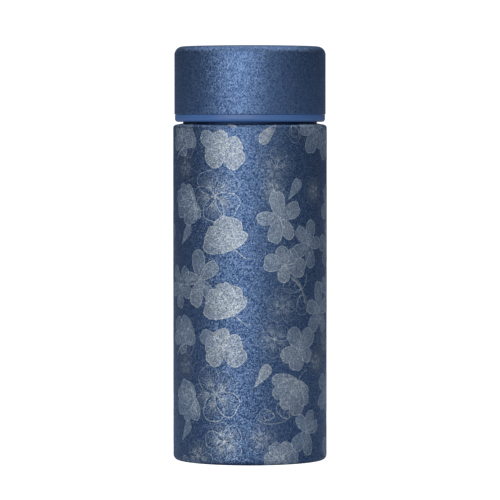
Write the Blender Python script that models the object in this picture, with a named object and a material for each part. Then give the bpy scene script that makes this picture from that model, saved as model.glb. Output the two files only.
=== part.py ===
"""A 200 ml double-walled vacuum bottle with a screw cap, as separate solids in one frame.

Metres, +Z up, origin at the centre of the foot. The turned pieces are spun about Z from their half
sections, and the two-start thread is a pair of helical ridges joined to the neck and to the cap.
"""

import math

import bmesh
import bpy

MM = 0.001

# Driving dimensions: the outside of the bottle and of its cap.
BODY_RADIUS = 28.0 * MM
SHOULDER_Z = 122.6 * MM
CAP_RADIUS = 27.55 * MM
CAP_TOP_Z = 150.9 * MM
RING_RADIUS = 27.35 * MM
RING_BOTTOM_Z = 123.1 * MM
RING_TOP_Z = 125.7 * MM
MOUTH_RADIUS = 19.2 * MM
LIP_Z = 137.2 * MM

# Sheet thicknesses and the gap left between neighbours that are welded or glued on the real bottle.
SHELL_WALL = 0.5 * MM
VESSEL_WALL = 0.4 * MM
FOIL_WALL = 0.2 * MM
GAP = 0.3 * MM

# Corners of the outside.
FOOT_CORNER = 1.8 * MM
FOOT_INNER_RADIUS = 24.2 * MM
SHOULDER_CORNER = 1.2 * MM
SHOULDER_RISE = 0.75 * MM
LAND_RADIUS = 24.4 * MM
LAND_RISE = 0.8 * MM
CAP_CORNER = 3.0 * MM
CAP_DOME = 0.35 * MM
RING_CORNER = 1.3 * MM

# Inner vessel.
VESSEL_RADIUS = 24.4 * MM
VESSEL_FLOOR_Z = 8.0 * MM
VESSEL_WELD_Z = 14.0 * MM
VESSEL_CORNER = 4.0 * MM
NECK_BOTTOM_Z = 119.5 * MM
FLARE_BOTTOM_Z = 111.0 * MM

# Two-start thread: one turn moves the cap by the lead.
THREAD_LEAD = 8.0 * MM
THREAD_STARTS = 2
NECK_WALL_RADIUS = 20.5 * MM
SKIRT_BORE_RADIUS = 22.0 * MM
THREAD_HEIGHT = 1.1 * MM
THREAD_BURIED = 0.35 * MM
THREAD_ROOT_WIDTH = 2.3 * MM
THREAD_CREST_WIDTH = 1.2 * MM
NECK_THREAD_Z = 126.6 * MM
NECK_THREAD_TURNS = 0.9
SKIRT_THREAD_TURNS = 0.6
THREAD_RUNOUT_TURNS = 0.06

# Cap mouldings.
DISC_Z = 139.2 * MM
DISC_THICKNESS = 1.8 * MM
SKIRT_OUTER_RADIUS = 24.4 * MM
COLLAR_WALL = 1.0 * MM
COLLAR_TOP_Z = 137.5 * MM
SPIGOT_DEPTH = 2.4 * MM
PLUG_RADIUS = 17.3 * MM
PLUG_BOTTOM_Z = 125.2 * MM
PLUG_WALL = 1.4 * MM

# Base pieces.
BASE_PLATE_Z = 3.9 * MM
DIMPLE_DEPTH = 1.0 * MM
DIMPLE_RADIUS = 5.0 * MM
EXHAUST_RADIUS = 1.2 * MM
GETTER_RADIUS = 4.0 * MM
GETTER_OFFSET = 13.0 * MM

OUTER_SEGMENTS = 48
INNER_SEGMENTS = 36
SMALL_SEGMENTS = 20
SHARP_ANGLE = math.radians(35)
WELD = 1e-6

BLUE_PAINT = (0.045, 0.105, 0.27)
BLUE_PLASTIC = (0.055, 0.14, 0.37)
STEEL = (0.62, 0.62, 0.63)
FOIL = (0.80, 0.80, 0.82)
GETTER_GREY = (0.25, 0.25, 0.27)
GLASS_GREEN = (0.35, 0.45, 0.40)
CAP_GREY = (0.42, 0.45, 0.50)
PLUG_WHITE = (0.75, 0.76, 0.78)
FOAM_WHITE = (0.88, 0.88, 0.87)
SILICONE = (0.72, 0.74, 0.76)


def clear_scene():
    for old in list(bpy.data.objects):
        bpy.data.objects.remove(old)


def make_material(name, colour, roughness, metallic=0.0):
    made = bpy.data.materials.new(name)
    made.use_nodes = True
    shader = made.node_tree.nodes["Principled BSDF"]
    shader.inputs["Base Color"].default_value = (*colour, 1.0)
    shader.inputs["Roughness"].default_value = roughness
    shader.inputs["Metallic"].default_value = metallic
    return made


def arc(centre, radius, start_deg, end_deg, steps):
    """Points (r, z) along a circular arc, both ends included."""
    points = []
    for i in range(steps + 1):
        angle = math.radians(start_deg + (end_deg - start_deg) * i / steps)
        points.append((centre[0] + radius * math.cos(angle), centre[1] + radius * math.sin(angle)))
    return points


def s_curve(start, end, steps):
    """Points (r, z) of a smooth step between two vertical walls, both ends included."""
    points = []
    for i in range(steps + 1):
        t = i / steps
        ease = t * t * (3 - 2 * t)
        points.append((start[0] + (end[0] - start[0]) * ease, start[1] + (end[1] - start[1]) * t))
    return points


def add_object(name, bm, material):
    mesh = bpy.data.meshes.new(name)
    bm.to_mesh(mesh)
    bm.free()
    mesh.shade_smooth()
    mesh.set_sharp_from_angle(angle=SHARP_ANGLE)
    made = bpy.data.objects.new(name, mesh)
    made.data.materials.append(material)
    bpy.context.scene.collection.objects.link(made)
    return made


def turned(name, profile, segments, material):
    """Spins a half section of (r, z) points about Z. A section that starts off the axis is a closed loop."""
    bm = bmesh.new()
    verts = [bm.verts.new((r, 0.0, z)) for r, z in profile]
    pairs = list(zip(verts, verts[1:]))
    if profile[0][0] > 0:
        pairs.append((verts[-1], verts[0]))
    edges = [bm.edges.new(pair) for pair in pairs]
    bmesh.ops.spin(
        bm,
        geom=verts + edges,
        cent=(0, 0, 0),
        axis=(0, 0, 1),
        angle=math.tau,
        steps=segments,
        use_merge=True,
    )
    bmesh.ops.remove_doubles(bm, verts=bm.verts, dist=WELD)
    bmesh.ops.recalc_face_normals(bm, faces=bm.faces)
    return add_object(name, bm, material)


def helical_ridge(name, wall_radius, outward, start_z, start_angle, turns, material):
    """One thread ridge that stands out of a round wall, with its ends run out into the wall.

    outward is 1 for a ridge on the outside of the neck and -1 for one inside the cap.
    """
    steps = round(turns * OUTER_SEGMENTS)
    root = wall_radius - outward * THREAD_BURIED
    crest_height = THREAD_HEIGHT + THREAD_BURIED
    bm = bmesh.new()
    rings = []
    for i in range(steps + 1):
        turn = turns * i / steps
        runout = min(1.0, turn / THREAD_RUNOUT_TURNS, (turns - turn) / THREAD_RUNOUT_TURNS)
        crest = root + outward * (THREAD_BURIED / 2 + (crest_height - THREAD_BURIED / 2) * runout)
        angle = start_angle + math.tau * turn
        middle = start_z + THREAD_LEAD * turn
        section = (
            (root, -THREAD_ROOT_WIDTH / 2),
            (crest, -THREAD_CREST_WIDTH / 2),
            (crest, THREAD_CREST_WIDTH / 2),
            (root, THREAD_ROOT_WIDTH / 2),
        )
        rings.append(
            [bm.verts.new((r * math.cos(angle), r * math.sin(angle), middle + dz)) for r, dz in section]
        )
    for first, second in zip(rings, rings[1:]):
        for k in range(4):
            bm.faces.new((first[k], first[(k + 1) % 4], second[(k + 1) % 4], second[k]))
    bm.faces.new(rings[0])
    bm.faces.new(rings[-1])
    bmesh.ops.recalc_face_normals(bm, faces=bm.faces)
    ridge = add_object(name, bm, material)
    ridge.hide_render = True
    ridge.display_type = "WIRE"
    return ridge


def join_ridges(part, wall_radius, outward, start_z, start_angle, turns):
    """Unites one ridge for each start of the thread with a part."""
    for start in range(THREAD_STARTS):
        ridge = helical_ridge(
            f"{part.name}_ridge_{start + 1}",
            wall_radius,
            outward,
            start_z,
            start_angle + math.tau * start / THREAD_STARTS,
            turns,
            part.data.materials[0],
        )
        union = part.modifiers.new(f"Ridge {start + 1}", "BOOLEAN")
        union.operation = "UNION"
        union.solver = "EXACT"
        union.object = ridge


def outer_shell(paint):
    """Painted outer wall: a tube curled in under the foot and drawn in at the shoulder.

    Inside the shoulder a low raised land runs round the neck, which is all that shows under the cap.
    """
    inside = BODY_RADIUS - SHELL_WALL
    foot_centre = (BODY_RADIUS - FOOT_CORNER, FOOT_CORNER)
    corner_z = SHOULDER_Z - SHOULDER_RISE - SHOULDER_CORNER
    corner_centre = (BODY_RADIUS - SHOULDER_CORNER, corner_z)
    shoulder_inner = NECK_WALL_RADIUS + GAP
    land_z = SHOULDER_Z + LAND_RISE
    profile = [(FOOT_INNER_RADIUS, 0.0)]
    profile += arc(foot_centre, FOOT_CORNER, -90, 0, 4)
    profile += arc(corner_centre, SHOULDER_CORNER, 0, 75, 3)
    profile += [
        (LAND_RADIUS, SHOULDER_Z),
        (LAND_RADIUS, land_z),
        (shoulder_inner, land_z),
        (shoulder_inner, land_z - SHELL_WALL),
        (LAND_RADIUS - SHELL_WALL, land_z - SHELL_WALL),
        (LAND_RADIUS - SHELL_WALL, SHOULDER_Z - SHELL_WALL),
    ]
    profile += arc(corner_centre, SHOULDER_CORNER - SHELL_WALL, 75, 0, 2)
    profile += arc(foot_centre, FOOT_CORNER - SHELL_WALL, 0, -90, 3)
    profile += [(FOOT_INNER_RADIUS, SHELL_WALL)]
    return turned("outer_shell", profile, OUTER_SEGMENTS, paint)


def threaded_neck(steel):
    """Steel sleeve round the mouth, with the outer thread and a flange welded under the land."""
    bore = MOUTH_RADIUS + VESSEL_WALL + GAP
    flange_top = SHOULDER_Z + LAND_RISE - SHELL_WALL - GAP
    flange_bottom = flange_top - 0.6 * MM
    flange_radius = NECK_WALL_RADIUS + 2.5 * MM
    top = LIP_Z - 0.6 * MM - GAP
    profile = [
        (bore, flange_bottom),
        (flange_radius, flange_bottom),
        (flange_radius, flange_top),
        (NECK_WALL_RADIUS, flange_top),
        (NECK_WALL_RADIUS, top),
        (bore, top),
    ]
    neck = turned("threaded_neck", profile, OUTER_SEGMENTS, steel)
    join_ridges(neck, NECK_WALL_RADIUS, 1, NECK_THREAD_Z, 0.0, NECK_THREAD_TURNS)
    return neck


def inner_tube(steel):
    """Wall of the inner vessel, from the rolled lip down to the weld with its bottom."""
    lip_radius = NECK_WALL_RADIUS
    lip_height = 0.6 * MM
    outer_neck = MOUTH_RADIUS + VESSEL_WALL
    outer_body = VESSEL_RADIUS + VESSEL_WALL
    profile = [
        (VESSEL_RADIUS, VESSEL_WELD_Z),
        (outer_body, VESSEL_WELD_Z),
    ]
    profile += s_curve((outer_body, FLARE_BOTTOM_Z), (outer_neck, NECK_BOTTOM_Z), 5)
    profile += [
        (outer_neck, LIP_Z - lip_height),
        (lip_radius, LIP_Z - lip_height),
        (lip_radius - 0.1 * MM, LIP_Z - 0.15 * MM),
        (lip_radius - 0.5 * MM, LIP_Z),
        (MOUTH_RADIUS + 0.4 * MM, LIP_Z),
        (MOUTH_RADIUS, LIP_Z - 0.3 * MM),
    ]
    profile += s_curve((MOUTH_RADIUS, NECK_BOTTOM_Z), (VESSEL_RADIUS, FLARE_BOTTOM_Z), 5)
    return turned("inner_tube", profile, INNER_SEGMENTS, steel)


def inner_bottom(steel):
    """Dished floor of the inner vessel, butt welded to the tube."""
    centre = (VESSEL_RADIUS - VESSEL_CORNER, VESSEL_FLOOR_Z + VESSEL_CORNER)
    rim_z = VESSEL_WELD_Z - GAP
    profile = [(0.0, VESSEL_FLOOR_Z - VESSEL_WALL)]
    profile += arc(centre, VESSEL_CORNER + VESSEL_WALL, -90, 0, 3)
    profile += [
        (VESSEL_RADIUS + VESSEL_WALL, rim_z),
        (VESSEL_RADIUS, rim_z),
    ]
    profile += arc(centre, VESSEL_CORNER, 0, -90, 3)
    profile += [(0.0, VESSEL_FLOOR_Z)]
    return turned("inner_bottom", profile, INNER_SEGMENTS, steel)


def radiation_foil(foil):
    """Reflective foil wrapped round the inner vessel inside the vacuum."""
    inner = VESSEL_RADIUS + VESSEL_WALL + GAP
    bottom = VESSEL_WELD_Z + 3 * MM
    top = FLARE_BOTTOM_Z - 2 * MM
    profile = [(inner, bottom), (inner + FOIL_WALL, bottom), (inner + FOIL_WALL, top), (inner, top)]
    return turned("radiation_foil", profile, INNER_SEGMENTS, foil)


def getter_pieces(getter, steel):
    """Gas-absorbing pellet and the pressed clip that holds it under the inner bottom."""
    clip_top = VESSEL_FLOOR_Z - VESSEL_WALL - GAP
    clip_wall = 0.3 * MM
    clip_inner = GETTER_RADIUS + GAP
    clip_bottom = BASE_PLATE_Z + SHELL_WALL + GAP
    brim = clip_inner + 1.8 * MM
    clip = turned(
        "getter_clip",
        [
            (0.0, clip_bottom),
            (clip_inner + clip_wall, clip_bottom),
            (clip_inner + clip_wall, clip_top - clip_wall),
            (brim, clip_top - clip_wall),
            (brim, clip_top),
            (clip_inner, clip_top),
            (clip_inner, clip_bottom + clip_wall),
            (0.0, clip_bottom + clip_wall),
        ],
        SMALL_SEGMENTS,
        steel,
    )
    pellet_bottom = clip_bottom + clip_wall + GAP
    pellet_top = clip_top - GAP
    pellet_chamfer = 0.25 * MM
    pellet = turned(
        "getter_pellet",
        [
            (0.0, pellet_bottom),
            (GETTER_RADIUS - pellet_chamfer, pellet_bottom),
            (GETTER_RADIUS, pellet_bottom + pellet_chamfer),
            (GETTER_RADIUS, pellet_top - pellet_chamfer),
            (GETTER_RADIUS - pellet_chamfer, pellet_top),
            (0.0, pellet_top),
        ],
        SMALL_SEGMENTS,
        getter,
    )
    for piece in (clip, pellet):
        piece.location.y = GETTER_OFFSET
    return clip, pellet


def base_plate(steel):
    """Disc that closes the vacuum, with a rim, a central dimple and the exhaust hole in it."""
    rim_radius = BODY_RADIUS - SHELL_WALL - GAP
    rim_bottom = FOOT_CORNER + GAP
    top = BASE_PLATE_Z + SHELL_WALL
    flat_edge = DIMPLE_RADIUS + DIMPLE_DEPTH
    profile = [
        (EXHAUST_RADIUS, BASE_PLATE_Z - DIMPLE_DEPTH),
        (DIMPLE_RADIUS, BASE_PLATE_Z - DIMPLE_DEPTH),
        (flat_edge, BASE_PLATE_Z),
        (rim_radius - SHELL_WALL, BASE_PLATE_Z),
        (rim_radius - SHELL_WALL, rim_bottom),
        (rim_radius, rim_bottom),
        (rim_radius, top - 0.3 * MM),
        (rim_radius - 0.3 * MM, top),
        (flat_edge - 0.2 * MM, top),
        (DIMPLE_RADIUS - 0.2 * MM, top - DIMPLE_DEPTH),
        (EXHAUST_RADIUS, top - DIMPLE_DEPTH),
    ]
    return turned("base_plate", profile, INNER_SEGMENTS, steel)


def seal_bead(glass):
    """Bead of solder glass that closed the exhaust hole in the vacuum furnace."""
    seat = BASE_PLATE_Z - DIMPLE_DEPTH - GAP / 2
    stem = EXHAUST_RADIUS - GAP
    profile = [(0.0, seat - 0.8 * MM)]
    profile += [
        (1.4 * MM, seat - 0.65 * MM),
        (2.3 * MM, seat - 0.3 * MM),
        (2.5 * MM, seat),
        (stem, seat),
        (stem, seat + 0.5 * MM),
        (0.0, seat + 0.6 * MM),
    ]
    return turned("seal_bead", profile, SMALL_SEGMENTS, glass)


def base_cover(steel):
    """Pressed steel cover that hides the sealed plate, held by its rim inside the foot."""
    radius = FOOT_INNER_RADIUS - GAP
    bottom = 0.4 * MM
    panel_step = 0.45 * MM
    panel_radius = 17.0 * MM
    rim_top = BASE_PLATE_Z - GAP
    profile = [
        (0.0, bottom + panel_step),
        (panel_radius - panel_step, bottom + panel_step),
        (panel_radius, bottom),
        (radius - 0.4 * MM, bottom),
        (radius, bottom + 0.4 * MM),
        (radius, rim_top),
        (radius - SHELL_WALL, rim_top),
        (radius - SHELL_WALL, bottom + SHELL_WALL),
        (panel_radius + 0.2 * MM, bottom + SHELL_WALL),
        (panel_radius - panel_step + 0.2 * MM, bottom + panel_step + SHELL_WALL),
        (0.0, bottom + panel_step + SHELL_WALL),
    ]
    return turned("base_cover", profile, INNER_SEGMENTS, steel)


def cap_cover(paint):
    """Painted cup over the cap, with a rounded top edge and a faintly domed top."""
    edge_z = CAP_TOP_Z - CAP_DOME
    corner = (CAP_RADIUS - CAP_CORNER, edge_z - CAP_CORNER)
    bottom = RING_TOP_Z + GAP
    inner_corner = CAP_CORNER - SHELL_WALL
    roll = 0.2 * MM
    profile = [
        (0.0, CAP_TOP_Z - SHELL_WALL),
        (corner[0], edge_z - SHELL_WALL),
    ]
    profile += arc(corner, inner_corner, 90, 0, 3)[1:]
    profile += [
        (CAP_RADIUS - SHELL_WALL, bottom),
        (CAP_RADIUS - roll, bottom),
        (CAP_RADIUS, bottom + roll),
    ]
    profile += arc(corner, CAP_CORNER, 0, 90, 5)
    profile += [(corner[0] / 2, CAP_TOP_Z - CAP_DOME / 4), (0.0, CAP_TOP_Z)]
    return turned("cap_cover", profile, OUTER_SEGMENTS, paint)


def cap_trim_ring(plastic):
    """Blue ring seen below the cover, with a thin collar that goes up inside it."""
    inner = SKIRT_OUTER_RADIUS + GAP
    collar_radius = CAP_RADIUS - SHELL_WALL - GAP
    collar_inner = collar_radius - COLLAR_WALL
    centre = (RING_RADIUS - RING_CORNER, RING_BOTTOM_Z + RING_CORNER)
    profile = [(inner, RING_BOTTOM_Z)]
    profile += arc(centre, RING_CORNER, -90, 0, 4)
    profile += [
        (RING_RADIUS, RING_TOP_Z),
        (collar_radius, RING_TOP_Z),
        (collar_radius, COLLAR_TOP_Z),
        (collar_inner, COLLAR_TOP_Z),
        (collar_inner, RING_TOP_Z),
        (inner, RING_TOP_Z),
    ]
    return turned("cap_trim_ring", profile, OUTER_SEGMENTS, plastic)


def cap_body(plastic):
    """Threaded moulding inside the cap: skirt, disc across the mouth, and the spigot that carries the plug."""
    disc_top = DISC_Z + DISC_THICKNESS
    disc_radius = CAP_RADIUS - SHELL_WALL - GAP
    lead_in = 0.7 * MM
    spigot_radius = PLUG_RADIUS - PLUG_WALL - GAP
    spigot_wall = 1.2 * MM
    spigot_bottom = DISC_Z - SPIGOT_DEPTH
    skirt_bottom = SHOULDER_Z + LAND_RISE + GAP
    profile = [
        (0.0, DISC_Z),
        (spigot_radius - spigot_wall, DISC_Z),
        (spigot_radius - spigot_wall, spigot_bottom),
        (spigot_radius, spigot_bottom),
        (spigot_radius, DISC_Z),
        (SKIRT_BORE_RADIUS, DISC_Z),
        (SKIRT_BORE_RADIUS, skirt_bottom + lead_in),
        (SKIRT_BORE_RADIUS + lead_in, skirt_bottom),
        (SKIRT_OUTER_RADIUS, skirt_bottom),
        (SKIRT_OUTER_RADIUS, DISC_Z),
        (disc_radius, DISC_Z),
        (disc_radius, disc_top),
        (0.0, disc_top),
    ]
    body = turned("cap_body", profile, OUTER_SEGMENTS, plastic)
    # A quarter turn further round, the skirt's ridges run halfway between the neck's.
    join_ridges(body, SKIRT_BORE_RADIUS, -1, NECK_THREAD_Z, math.tau / 4, SKIRT_THREAD_TURNS)
    return body


def cap_foam(foam):
    """Insulating foam disc between the cap's disc and its cover."""
    radius = CAP_RADIUS - SHELL_WALL - GAP
    bottom = DISC_Z + DISC_THICKNESS + GAP
    top = CAP_TOP_Z - CAP_DOME - SHELL_WALL - GAP
    corner = CAP_CORNER - SHELL_WALL
    profile = [(0.0, bottom), (radius, bottom), (radius, top - corner), (radius - corner, top), (0.0, top)]
    return turned("cap_foam", profile, INNER_SEGMENTS, foam)


def gasket_groove():
    """(bottom z, top z, radius) of the groove round the foot of the plug."""
    bottom = PLUG_BOTTOM_Z + 1.0 * MM
    return bottom, bottom + 3.4 * MM, PLUG_RADIUS - 1.5 * MM


def plug_cup(plastic):
    """Hollow plug that goes down into the mouth, with the gasket's groove near its foot."""
    groove_bottom, groove_top, groove_radius = gasket_groove()
    top = DISC_Z - GAP
    inner = PLUG_RADIUS - PLUG_WALL
    floor_z = groove_top + 1.0 * MM
    chamfer = 0.5 * MM
    profile = [
        (0.0, PLUG_BOTTOM_Z),
        (PLUG_RADIUS - chamfer, PLUG_BOTTOM_Z),
        (PLUG_RADIUS, PLUG_BOTTOM_Z + chamfer),
        (PLUG_RADIUS, groove_bottom),
        (groove_radius, groove_bottom),
        (groove_radius, groove_top),
        (PLUG_RADIUS, groove_top),
        (PLUG_RADIUS, top),
        (inner, top),
        (inner, floor_z),
        (groove_radius - PLUG_WALL, floor_z - PLUG_WALL),
        (groove_radius - PLUG_WALL, PLUG_BOTTOM_Z + PLUG_WALL),
        (0.0, PLUG_BOTTOM_Z + PLUG_WALL),
    ]
    return turned("plug_cup", profile, INNER_SEGMENTS, plastic)


def plug_foam(foam):
    """Insulating foam inside the plug."""
    _, _, groove_radius = gasket_groove()
    radius = groove_radius - PLUG_WALL - GAP
    bottom = PLUG_BOTTOM_Z + PLUG_WALL + GAP
    top = DISC_Z - SPIGOT_DEPTH - GAP
    profile = [(0.0, bottom), (radius, bottom), (radius, top), (0.0, top)]
    return turned("plug_foam", profile, INNER_SEGMENTS, foam)


def plug_gasket(silicone):
    """Silicone packing ring, with a lip that wipes the wall of the mouth, at its squeezed size."""
    groove_bottom, groove_top, groove_radius = gasket_groove()
    inner = groove_radius + GAP
    bottom = groove_bottom + GAP
    top = groove_top - GAP
    lip = MOUTH_RADIUS - GAP
    profile = [
        (inner, bottom),
        (inner + 1.3 * MM, bottom),
        (lip - 0.2 * MM, bottom + 1.6 * MM),
        (lip, top - 0.2 * MM),
        (lip - 0.6 * MM, top),
        (inner + 1.5 * MM, bottom + 1.8 * MM),
        (inner + 1.1 * MM, top),
        (inner, top),
    ]
    return turned("plug_gasket", profile, INNER_SEGMENTS, silicone)


def main():
    clear_scene()
    paint = make_material("blue_paint", BLUE_PAINT, 0.45, 0.6)
    ring_plastic = make_material("blue_plastic", BLUE_PLASTIC, 0.38)
    cap_plastic = make_material("cap_plastic", CAP_GREY, 0.45)
    steel = make_material("steel", STEEL, 0.3, 1.0)
    foil = make_material("foil", FOIL, 0.2, 1.0)
    getter = make_material("getter", GETTER_GREY, 0.7, 0.8)
    glass = make_material("seal_glass", GLASS_GREEN, 0.15)
    plug_plastic = make_material("plug_plastic", PLUG_WHITE, 0.45)
    foam = make_material("foam", FOAM_WHITE, 0.9)
    silicone = make_material("silicone", SILICONE, 0.5)

    outer_shell(paint)
    threaded_neck(steel)
    inner_tube(steel)
    inner_bottom(steel)
    radiation_foil(foil)
    getter_pieces(getter, steel)
    base_plate(steel)
    seal_bead(glass)
    base_cover(steel)

    cap_cover(paint)
    cap_trim_ring(ring_plastic)
    cap_body(cap_plastic)
    cap_foam(foam)
    plug_cup(plug_plastic)
    plug_foam(foam)
    plug_gasket(silicone)


main()
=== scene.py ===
"""Looks for the vacuum bottle: fine turned surfaces, the blossom print, materials, light and camera.

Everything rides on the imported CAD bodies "bottle", "seal" and "cap". Lengths in this script are in
millimetres and are turned into metres only where a mesh is written.
"""

import math
import random

import bpy
import numpy as np
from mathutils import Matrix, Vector
from mathutils.geometry import delaunay_2d_cdt


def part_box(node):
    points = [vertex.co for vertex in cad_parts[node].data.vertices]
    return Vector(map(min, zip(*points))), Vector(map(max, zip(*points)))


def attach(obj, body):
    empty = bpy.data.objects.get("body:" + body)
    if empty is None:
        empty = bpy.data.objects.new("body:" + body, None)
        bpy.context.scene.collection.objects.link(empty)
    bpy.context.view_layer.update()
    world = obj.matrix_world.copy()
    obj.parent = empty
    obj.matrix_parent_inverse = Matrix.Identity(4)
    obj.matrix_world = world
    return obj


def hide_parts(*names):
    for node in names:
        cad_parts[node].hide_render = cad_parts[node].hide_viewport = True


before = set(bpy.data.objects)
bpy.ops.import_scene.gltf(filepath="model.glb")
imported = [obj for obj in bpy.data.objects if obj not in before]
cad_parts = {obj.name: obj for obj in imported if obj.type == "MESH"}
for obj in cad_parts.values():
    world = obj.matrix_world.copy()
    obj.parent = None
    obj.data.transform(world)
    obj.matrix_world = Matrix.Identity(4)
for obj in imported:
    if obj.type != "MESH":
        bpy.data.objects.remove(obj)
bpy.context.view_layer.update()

MM = 0.001
ROUND = 256
THREAD_ROWS = 110
SHARP = math.radians(38)


def low(node):
    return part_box(node)[0] / MM


def high(node):
    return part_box(node)[1] / MM


# ---------------------------------------------------------------- sizes

BODY_R = high("outer_shell").x
LAND_R = 24.4
LAND_RISE = 0.8
LAND_Z = high("outer_shell").z
SHOULDER_Z = LAND_Z - LAND_RISE
FOOT_CORNER = 1.8
FOOT_INNER_R = 24.2
SHOULDER_CORNER = 1.2
SHOULDER_LEAN = math.radians(75)
SHOULDER_RISE = 0.45
CORNER_Z = SHOULDER_Z - SHOULDER_RISE - SHOULDER_CORNER
SHELL_WALL = 0.5
NECK_R = 20.5
MOUTH_R = 19.2
LIP_Z = high("inner_tube").z
VESSEL_R = 24.4
VESSEL_WALL = 0.4
VESSEL_WELD_Z = 14.0
FLARE_BOTTOM_Z = 111.0
FLARE_HEIGHT = 8.5
CAP_R = high("cap_cover").x
CAP_TOP_Z = high("cap_cover").z
RING_R = high("cap_trim_ring").x
RING_BOTTOM_Z = low("cap_trim_ring").z
RING_TOP_Z = low("cap_cover").z - 0.25
SKIRT_BORE_R = 22.0
SKIRT_OUTER_R = 24.4
SKIRT_BOTTOM_Z = low("cap_body").z
PLUG_R = high("plug_cup").x
PLUG_BOTTOM_Z = low("plug_cup").z
DISC_Z = 139.2
THREAD_LEAD = 8.0
THREAD_STARTS = 2
THREAD_HEIGHT = 1.1
THREAD_Z = 126.6
THREAD_CREST = 0.9
THREAD_FLANK = 0.75
THREAD_RUNOUT = 0.07
NECK_TURNS = 0.9
SKIRT_TURNS = 0.6


# ---------------------------------------------------------------- mesh helpers


def rounded(points, steps=5):
    """Turns (r, z) or (r, z, fillet) points into a polyline with an arc at each filleted corner."""
    out = []
    count = len(points)
    for i, point in enumerate(points):
        fillet = point[2] if len(point) > 2 else 0.0
        here = np.array(point[:2], float)
        if fillet <= 0 or i in (0, count - 1):
            out.append(tuple(here))
            continue
        before = np.array(points[i - 1][:2], float) - here
        after = np.array(points[i + 1][:2], float) - here
        length_before, length_after = np.linalg.norm(before), np.linalg.norm(after)
        before, after = before / length_before, after / length_after
        half = math.acos(max(-1.0, min(1.0, float(before @ after)))) / 2
        reach = min(fillet / math.tan(half), 0.49 * length_before, 0.49 * length_after)
        radius = reach * math.tan(half)
        bisector = (before + after) / np.linalg.norm(before + after)
        centre = here + bisector * radius / math.sin(half)
        start, end = here + before * reach - centre, here + after * reach - centre
        sweep = math.atan2(start[0] * end[1] - start[1] * end[0], float(start @ end))
        for k in range(steps + 1):
            a = sweep * k / steps
            turned_x = start[0] * math.cos(a) - start[1] * math.sin(a)
            turned_y = start[0] * math.sin(a) + start[1] * math.cos(a)
            out.append((centre[0] + turned_x, centre[1] + turned_y))
    return out


def put_in_scene(name, data, material=None):
    """Makes an object of a mesh, light or camera."""
    made = bpy.data.objects.new(name, data)
    if material:
        data.materials.append(material)
    bpy.context.scene.collection.objects.link(made)
    return made


def revolve(profile, relief=None):
    """Vertices and faces of a half section spun about Z.

    A section that starts and ends on the axis gives a closed body, any other is closed into a ring.
    relief(angle, r, z) may return a new radius, for threads.
    """
    on_axis = profile[0][0] < 1e-6
    segments = ROUND
    angles = np.arange(segments) * math.tau / segments
    cos, sin = np.cos(angles), np.sin(angles)
    inner = profile[1:-1] if on_axis else profile
    rings = np.zeros((len(inner), segments, 3))
    for i, (r, z) in enumerate(inner):
        radius = relief(angles, r, z) if relief else np.full(segments, r)
        rings[i, :, 0] = radius * cos
        rings[i, :, 1] = radius * sin
        rings[i, :, 2] = z
    verts = [tuple(v) for v in rings.reshape(-1, 3)]
    faces = []
    rows = len(inner)
    for i in range(rows - 1 if on_axis else rows):
        a, b = i * segments, ((i + 1) % rows) * segments
        for k in range(segments):
            n = (k + 1) % segments
            faces.append((a + k, a + n, b + n, b + k))
    if on_axis:
        for ring, end in ((0, profile[0]), (rows - 1, profile[-1])):
            tip = len(verts)
            verts.append((0.0, 0.0, end[1]))
            for k in range(segments):
                n = (k + 1) % segments
                side = (ring * segments + k, ring * segments + n, tip)
                faces.append(side if ring else side[::-1])
    return verts, outward(verts, faces)


def outward(verts, faces):
    """The same faces, all turned round if they enclose a negative volume."""
    points = np.asarray(verts)
    volume = 0.0
    for f in faces:
        a = points[f[0]]
        for k in range(1, len(f) - 1):
            volume += float(np.dot(a, np.cross(points[f[k]], points[f[k + 1]])))
    return [f[::-1] for f in faces] if volume < 0 else faces


def turned(name, profile, material, body, node, relief=None):
    """A turned piece that takes the place of a CAD node."""
    verts, faces = revolve(profile, relief)
    mesh = bpy.data.meshes.new(name)
    mesh.from_pydata((np.asarray(verts) * MM).tolist(), [], faces)
    mesh.validate()
    mesh.shade_smooth()
    mesh.set_sharp_from_angle(angle=SHARP)
    made = put_in_scene(name, mesh, material)
    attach(made, body)
    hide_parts(node)


def smoothstep(x):
    x = np.clip(x, 0.0, 1.0)
    return x * x * (3 - 2 * x)


def thread_relief(wall_r, outward_sign, turns, start_angle):
    """A relief for revolve: a wall with a rounded two-start thread standing out of it."""
    pitch = THREAD_LEAD / THREAD_STARTS

    def radius(angles, r, z):
        if abs(r - wall_r) > 1e-6:
            return np.full(len(angles), r)
        phase = (z - THREAD_Z - THREAD_LEAD * (angles - start_angle) / math.tau + pitch / 2) % pitch
        offset = phase - pitch / 2
        turn = (z - offset - THREAD_Z) / THREAD_LEAD
        runout = smoothstep(np.minimum(turn, turns - turn) / THREAD_RUNOUT + 0.25)
        section = 1 - smoothstep((np.abs(offset) - THREAD_CREST / 2) / THREAD_FLANK)
        return wall_r + outward_sign * THREAD_HEIGHT * section * runout

    return radius


# ---------------------------------------------------------------- material helpers


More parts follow.
